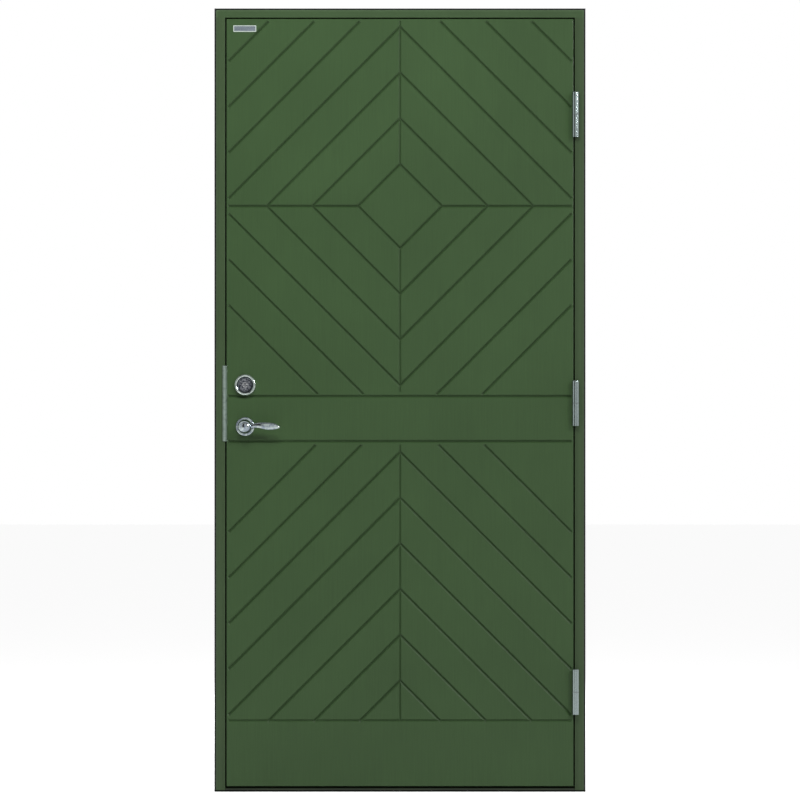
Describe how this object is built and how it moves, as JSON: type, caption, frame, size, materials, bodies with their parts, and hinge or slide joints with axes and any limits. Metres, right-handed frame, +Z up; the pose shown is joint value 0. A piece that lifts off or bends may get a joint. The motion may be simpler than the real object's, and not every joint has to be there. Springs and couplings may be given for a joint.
{
  "type": "entrance door set",
  "caption": "Outward-opening entrance door in its frame, the outer face milled with nested diamonds and chevrons, with lever handles, a mortise lock and lift-off hinges.",
  "frame": {"origin": "middle of the frame's underside", "axes": "+X to the hinge side as seen from outside, -Y out of the outer face, +Z up"},
  "size_m": [0.99, 0.166, 2.09],
  "materials": {
    "leaf_paint": "dark green opaque paint on timber board, satin",
    "frame_paint": "dark green opaque paint on timber, satin",
    "edge_paint": "dark green opaque paint on timber, satin",
    "bare_timber": "planed softwood",
    "foam": "rigid insulating foam",
    "satin_aluminium": "satin anodised",
    "bright_strip": "brushed",
    "satin_steel": "satin stainless",
    "galvanised_steel": "zinc plated sheet",
    "zinc_screws": "zinc plated",
    "hinge_steel": "satin",
    "washer_plastic": "black bearing washer",
    "handle_metal": "satin stainless",
    "cylinder_metal": "satin nickel",
    "plug_brass": "satin nickel brass",
    "plate_metal": "satin, bare",
    "black_rubber": "black sealing rubber"
  },
  "bodies": {
    "frame": {"lock_jamb": "frame_paint", "hinge_jamb": "frame_paint", "frame_head": "frame_paint", "threshold": "bare_timber", "threshold_strip": "satin_aluminium", "threshold_screws": "zinc_screws", "frame_screws": "zinc_screws", "base_seal": "black_rubber", "seal_lock_side": "black_rubber", "seal_hinge_side": "black_rubber", "seal_head": "black_rubber", "seal_threshold": "black_rubber", "strike_plate": "satin_steel", "strike_box": "galvanised_steel", "strike_screws": "zinc_screws", "hinge_frame_half_top": "hinge_steel", "hinge_frame_half_middle": "hinge_steel", "hinge_frame_half_bottom": "hinge_steel", "hinge_pin_top": "hinge_steel", "hinge_pin_middle": "hinge_steel", "hinge_pin_bottom": "hinge_steel", "hinge_washers": "washer_plastic", "hinge_frame_screws": "zinc_screws"},
    "leaf": {"outer_skin": "leaf_paint", "inner_skin": "leaf_paint", "lock_stile": "edge_paint", "hinge_stile": "edge_paint", "top_rail": "bare_timber", "bottom_rail": "bare_timber", "insulation_core": "foam", "gap_guard": "bright_strip", "guard_screws": "zinc_screws", "lock_case": "galvanised_steel", "lock_forend": "satin_steel", "forend_screws": "zinc_screws", "outside_cylinder": "cylinder_metal", "cylinder_ring": "handle_metal", "inside_turn_rose": "handle_metal", "cylinder_screws": "zinc_screws", "outside_rose": "handle_metal", "inside_rose": "handle_metal", "rose_screws": "zinc_screws", "hinge_leaf_half_top": "hinge_steel", "hinge_leaf_half_middle": "hinge_steel", "hinge_leaf_half_bottom": "hinge_steel", "hinge_leaf_screws": "zinc_screws", "name_plate": "plate_metal"},
    "handle": {"outside_lever": "handle_metal", "inside_lever": "handle_metal", "handle_spindle": "zinc_screws", "lever_grub_screws": "zinc_screws", "latch_follower": "galvanised_steel"},
    "latch": {"latch_bolt": "satin_steel"},
    "thumb": {"thumb_turn": "handle_metal", "bolt_cam": "galvanised_steel"},
    "bolt": {"dead_bolt": "satin_steel"},
    "key": {"cylinder_plug": "plug_brass"}
  },
  "joints": [
    {"name": "leaf_swing", "type": "hinge", "parent": "frame", "child": "leaf", "pos_m": [0.468, -0.06225, 1.0368], "axis": [0, 0, 1], "range_deg": [0, 170]},
    {"name": "handle_turn", "type": "hinge", "parent": "leaf", "child": "handle", "pos_m": [-0.413, -0.0215, 0.9745], "axis": [0, 1, 0], "range_deg": [0, 45], "stiffness_Nm_per_rad": 0.8, "springref_deg": -34.38},
    {"name": "latch_slide", "type": "slide", "parent": "leaf", "child": "latch", "axis": [1, 0, 0], "range_m": [0, 0.0126]},
    {"name": "thumb_turn", "type": "hinge", "parent": "leaf", "child": "thumb", "pos_m": [-0.413, -0.0215, 1.0855], "axis": [0, 1, 0], "range_deg": [0, 90]},
    {"name": "bolt_slide", "type": "slide", "parent": "leaf", "child": "bolt", "axis": [-1, 0, 0], "range_m": [0, 0.02]},
    {"name": "key_turn", "type": "hinge", "parent": "leaf", "child": "key", "pos_m": [-0.413, -0.0215, 1.0855], "axis": [0, 1, 0], "range_deg": [0, 90]}
  ],
  "couplings": [
    {"joint": "latch_slide", "follows": "handle_turn", "m_per_rad": 0.015915},
    {"joint": "thumb_turn", "follows": "bolt_slide", "rad_per_m": 78.54}
  ]
}
